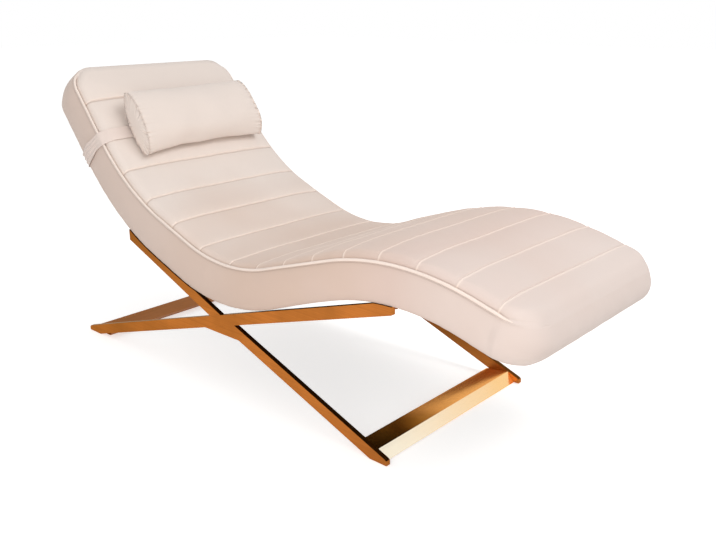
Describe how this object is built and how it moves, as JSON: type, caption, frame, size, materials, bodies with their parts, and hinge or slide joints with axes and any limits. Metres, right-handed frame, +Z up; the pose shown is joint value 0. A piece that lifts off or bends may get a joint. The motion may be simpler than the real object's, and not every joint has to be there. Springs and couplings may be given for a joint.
{
  "type": "spa relaxation lounger",
  "caption": "Wave-shaped relaxation lounger: channel-quilted cushion with piped edges on a crossed bronze-tone base, with a bolster headrest that slides on an elastic strap.",
  "frame": {"origin": "centre of the footprint box on the floor, at the underside of the glides", "axes": "+X from the head end to the foot end, +Y across to the far side of the picture, +Z up"},
  "size_m": [1.8813, 0.6794, 0.9298],
  "materials": {
    "upholstery": "smooth woven cover, matte, cream with a rosy cast",
    "piping": "covered cord, matte, a shade lighter than the cover",
    "soft_foam": "open-cell foam, soft",
    "fibre_fill": "polyester fibre, soft",
    "plywood": "bent birch plywood, sanded",
    "base_cloth": "black non-woven base cloth",
    "base_metal": "brushed bronze tone, satin, crisp edges",
    "zinc": "zinc-plated fasteners",
    "glide": "black glide pads",
    "strap_web": "ribbed elastic web, matte",
    "tape": "hook and loop tape"
  },
  "bodies": {
    "lounger": {"quilted_top": "upholstery", "boxing_near": "upholstery", "boxing_far": "upholstery", "boxing_head": "upholstery", "boxing_foot": "upholstery", "piping_cord": "piping", "foam_topper": "soft_foam", "foam_core": "soft_foam", "rib_near": "plywood", "rib_far": "plywood", "rib_head": "plywood", "rib_foot": "plywood", "corner_blocks": "plywood", "shell_panel": "plywood", "underside_cover": "base_cloth", "cross_leg_near": "base_metal", "cross_leg_far": "base_metal", "saddle_leg_near": "base_metal", "saddle_leg_far": "base_metal", "front_leg_near": "base_metal", "front_leg_far": "base_metal", "gusset_near": "base_metal", "gusset_far": "base_metal", "front_floor_bar": "base_metal", "rear_floor_bar": "base_metal", "back_cross_rail": "base_metal", "lap_cross_rail": "base_metal", "knee_cross_rail": "base_metal", "rail_bolts": "zinc", "rail_washers": "zinc", "t_nuts": "zinc", "floor_glides": "glide"},
    "headrest": {"pillow_fill": "fibre_fill", "pillow_cover": "upholstery", "pillow_end_near": "upholstery", "pillow_end_far": "upholstery", "strap_near": "strap_web", "strap_far": "strap_web", "strap_loop_tape": "tape", "strap_hook_tape": "tape"}
  },
  "joints": [
    {"name": "headrest_slide", "type": "slide", "parent": "lounger", "child": "headrest", "axis": [-0.6198, 0, 0.7848], "range_m": [0, 0.1]}
  ]
}
